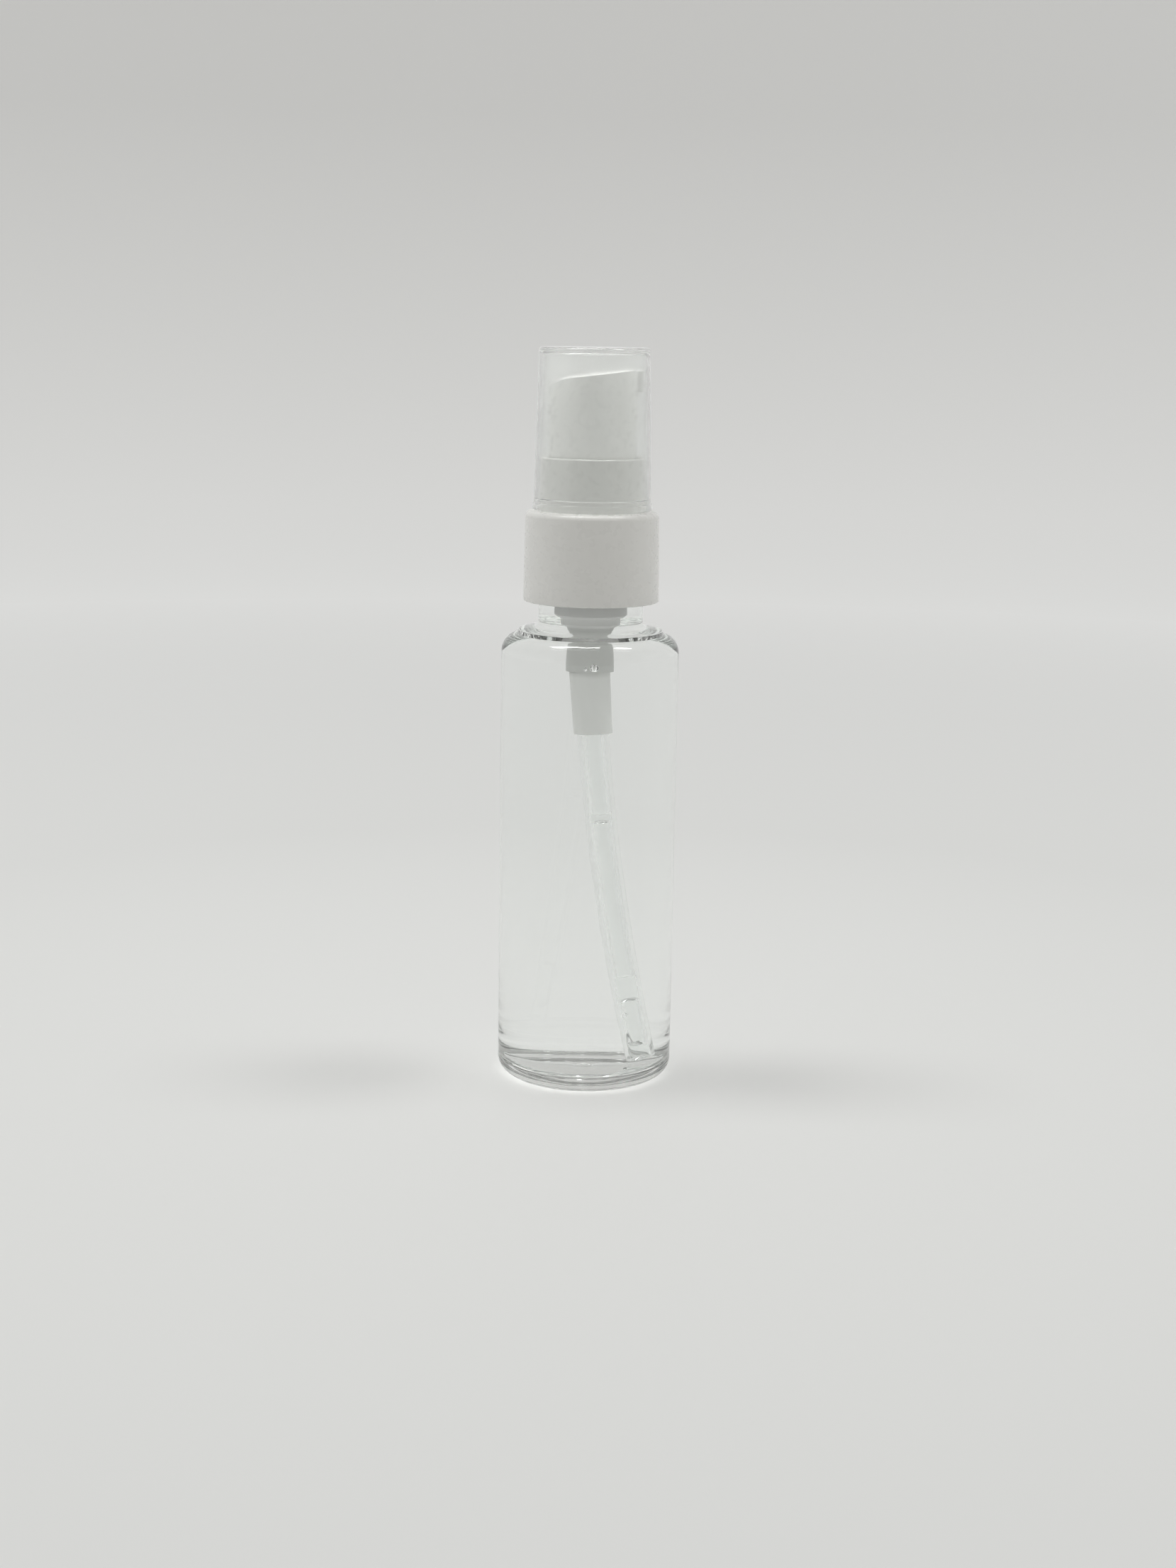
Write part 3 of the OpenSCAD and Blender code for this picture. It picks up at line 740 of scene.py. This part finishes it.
def make_slug(name, start, end, meniscus):
    """Oil in the tube's bore between two heights, hollow at the ends that meet air."""
    radius = TUBE_BORE_R - 0.01
    hollow = 0.4                         # depth of the hollow at each end
    shares = (0.35, 0.7, 0.9)            # rings across an end, as shares of the radius
    steps = 8
    leans = [lean_at(start + (end - start) * i / steps) for i in range(steps + 1)]
    rings = []
    for share in shares:
        rings.append(tube_ring(lean_at(start + hollow * (1 - share ** 2)), radius * share))
    rings += [tube_ring(lean, radius) for lean in leans]
    for share in reversed(shares):
        rings.append(tube_ring(lean_at(end - hollow * (1 - share ** 2)), radius * share))
    ends = [on_tube(lean_at(start + hollow))[0], on_tube(lean_at(end - hollow))[0]]
    slug = sweep(name, ends, rings, sharp_deg=60)
    paint(slug, meniscus, oil_inside())
    for face in slug.data.polygons:
        place = face.center / MM
        middle = on_tube(lean_at(place.z))[0]
        if (place - middle).length > 0.97 * radius:
            face.material_index = 1
    let_light_through(slug)
    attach(slug, "pump")


def make_spring():
    """Return spring with closed end coils. It shortens between its ledge and the rod at each stroke."""
    wire = 0.25                          # radius of the wire
    coils = 7
    mean_r = (spring_high.x - spring_low.x) / 2 - wire
    low, high = spring_low.z + wire, spring_high.z - wire
    open_pitch = (high - low - 4 * wire) / (coils - 2)
    steps = 32
    sides = 12

    def height(turn):
        """Height of the wire's middle after a number of turns."""
        if turn < 1:
            return low + 2 * wire * turn
        if turn > coils - 1:
            return high - 2 * wire * (coils - turn)
        return low + 2 * wire + open_pitch * (turn - 1)

    rings = []
    middles = []
    angles = [2 * math.pi * j / sides for j in range(sides)]
    up = Vector((0, 0, 1))
    for i in range(coils * steps + 1):
        turn = i / steps
        a = 2 * math.pi * turn
        out = Vector((math.cos(a), math.sin(a), 0))
        middle = out * mean_r + up * height(turn)
        middles.append(middle)
        rings.append([middle + wire * (math.cos(b) * out + math.sin(b) * up) for b in angles])
    spring = sweep("return_spring_wire", (middles[0], middles[-1]), rings, sharp_deg=60)
    paint(spring, steel("spring_steel", (0.6, 0.6, 0.62), 0.18, 0.35, (1, 1, 3)))
    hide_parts("return_spring")
    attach(spring, "pump")
    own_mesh(spring)


def paint_cad_nodes():
    """Materials of the pieces whose CAD shape is already right."""
    nodes = frame["nodes"]
    natural = natural_pp(TUBE_PIVOT)
    white = white_pp("inner_pp")
    paint(nodes["pump_housing"], natural)
    paint(nodes["stem_retainer"], white)
    paint(nodes["stem"], white)
    paint(nodes["piston_rod"], white)
    paint(nodes["piston"], piston_pe())
    paint(nodes["neck_gasket"], gasket_foam())
    paint(nodes["inlet_ball"], steel("ball_steel", (0.7, 0.7, 0.72), 0.05, 0.12, EVEN))


# ---------------------------------------------------------------- stage, light and camera

FLOOR_R = 700
FAR_GLOW = 0.24                      # glow of the paper where the floor meets the sweep
TOP_GLOW = 0.14


def paper(name):
    """Matt pale paper that is able to glow."""
    return principled(name, (0.8, 0.805, 0.795), 0.6, Emission_Color=(1, 1, 0.99, 1))


def add_glow(material, value, low, high, start, end):
    """Lets a material glow from low to high, as value goes from start to end in millimetres."""
    strength = spread(material, value, low, high, start * MM, end * MM)
    shader = material.node_tree.nodes["Principled BSDF"]
    material.node_tree.links.new(strength, shader.inputs["Emission Strength"])


def floor_paper():
    """Paper of the floor, which glows a little far out, where the panels' light has faded."""
    material = paper("paper")
    reach = material.node_tree.nodes.new("ShaderNodeVectorMath")
    reach.operation = "LENGTH"
    material.node_tree.links.new(position_on(material), reach.inputs[0])
    add_glow(material, reach.outputs["Value"], 0, FAR_GLOW, 200, FLOOR_R)
    return material


def sweep_paper():
    """Paper of the sweep, whose glow goes on from the floor's and fades upwards."""
    material = paper("paper_sweep")
    add_glow(material, height_on(material), FAR_GLOW, TOP_GLOW, 30, 260)
    return material


def make_stage():
    """A pale floor that runs into a round sweep, which is seen but casts no light or shade."""
    sweep_r = 600
    sweep_top = 2400
    thick = 5
    wall_r = FLOOR_R + sweep_r
    floor = lathe("floor", [(0, 0), (FLOOR_R, 0), (FLOOR_R, -thick), (0, -thick)], 96)
    paint(floor, floor_paper())
    section = arc(FLOOR_R, sweep_r, sweep_r, -90, 0, 24) + [(wall_r, sweep_top)]
    section += [(wall_r + thick, sweep_top), (wall_r + thick, -thick), (FLOOR_R, -thick)]
    backdrop = lathe("backdrop", section, 96, closed=True)
    paint(backdrop, sweep_paper())
    backdrop.visible_diffuse = False
    backdrop.visible_glossy = False
    backdrop.visible_shadow = False


def add_light(name, centre, size, watts):
    """A flat soft light that shines straight down, its place and size in metres."""
    light = bpy.data.lights.new(name, "AREA")
    light.shape = "RECTANGLE"
    light.size, light.size_y = size
    light.energy = watts
    light.color = (1, 1, 0.985)
    obj = bpy.data.objects.new(name, light)
    obj.location = centre
    bpy.context.scene.collection.objects.link(obj)


def make_world():
    """White tent all round, dimmer overhead, with a darker opening towards the front."""
    opening_left = (-52, -44)            # degrees round from the front, over which the opening fades in
    opening_right = (62, 84)
    opening_top = (0.5, 0.75)            # sines of the elevation over which it ends
    side_glow = 0.74
    overhead_glow = 0.38
    world = bpy.data.worlds.new("tent")
    bpy.context.scene.world = world
    world.use_nodes = True
    nodes = world.node_tree.nodes
    links = world.node_tree.links

    def math_node(operation, *values):
        node = nodes.new("ShaderNodeMath")
        node.operation = operation
        for socket, value in zip(node.inputs, values):
            if isinstance(value, (int, float)):
                socket.default_value = value
            else:
                links.new(value, socket)
        return node.outputs[0]

    def ramp(value, start, end, low, high):
        node = nodes.new("ShaderNodeMapRange")
        node.interpolation_type = "SMOOTHSTEP"
        for socket, number in zip(("From Min", "From Max", "To Min", "To Max"), (start, end, low, high)):
            node.inputs[socket].default_value = number
        links.new(value, node.inputs["Value"])
        return node.outputs[0]

    direction = nodes.new("ShaderNodeSeparateXYZ")
    links.new(nodes.new("ShaderNodeTexCoord").outputs["Generated"], direction.inputs[0])
    x, y, z = direction.outputs
    around = math_node("ARCTAN2", x, math_node("MULTIPLY", y, -1))
    left = ramp(around, *(math.radians(a) for a in opening_left), 0, 1)
    right = ramp(around, *(math.radians(a) for a in opening_right), 1, 0)
    below = ramp(z, *opening_top, 1, 0)
    opening = math_node("MULTIPLY", math_node("MULTIPLY", left, right), below)
    strength = ramp(z, 0, 1, side_glow, overhead_glow)

    color = nodes.new("ShaderNodeMix")
    color.data_type = "RGBA"
    color.inputs["A"].default_value = (1.0, 1.0, 0.99, 1)
    color.inputs["B"].default_value = (0.66, 0.645, 0.62, 1)
    links.new(opening, color.inputs["Factor"])
    background = nodes["Background"]
    links.new(color.outputs["Result"], background.inputs["Color"])
    links.new(strength, background.inputs["Strength"])


def make_camera():
    """Camera a little above the overcap, looking down at the bottle, with a small roll."""
    distance = 0.3925                    # metres
    height = 0.1287
    pitch = 11.23                        # degrees
    roll = 0.91
    focal_length = 53.7                  # millimetres
    camera = bpy.data.cameras.new("camera")
    camera.lens = focal_length
    camera.clip_start = 0.01
    obj = bpy.data.objects.new("camera", camera)
    turn = Matrix.Rotation(math.radians(90 - pitch), 4, "X") @ Matrix.Rotation(math.radians(roll), 4, "Z")
    obj.matrix_world = Matrix.Translation((0, -distance, height)) @ turn
    bpy.context.scene.collection.objects.link(obj)
    bpy.context.scene.camera = obj


make_camera()
make_world()
make_stage()
add_light("left_panel", (-0.115, 0.03, 0.6), (0.35, 0.1), 1.3)
add_light("right_panel", (0.235, 0.03, 0.6), (0.15, 0.1), 0.57)
scene = bpy.context.scene
scene.view_settings.view_transform = "Standard"
scene.cycles.max_bounces = BOUNCES
scene.cycles.transmission_bounces = BOUNCES
scene.cycles.glossy_bounces = BOUNCES

SLUGS = [(0, 5.7), (13.6, 18.0), (45.0, 46.6)]  # heights between which the tube's bore holds oil
SLUG_START = tube_low.z + 0.4                   # the lowest one starts a little above the tube's end
make_bottle()
make_oil()
make_bubbles()
make_collar()
make_overcap()
make_actuator()
make_dip_tube(SLUGS)
for number, (start, end) in enumerate(SLUGS):
    make_slug(f"oil_slug_{number + 1}", max(start, SLUG_START), end, oil_surface())
make_spring()
paint_cad_nodes()
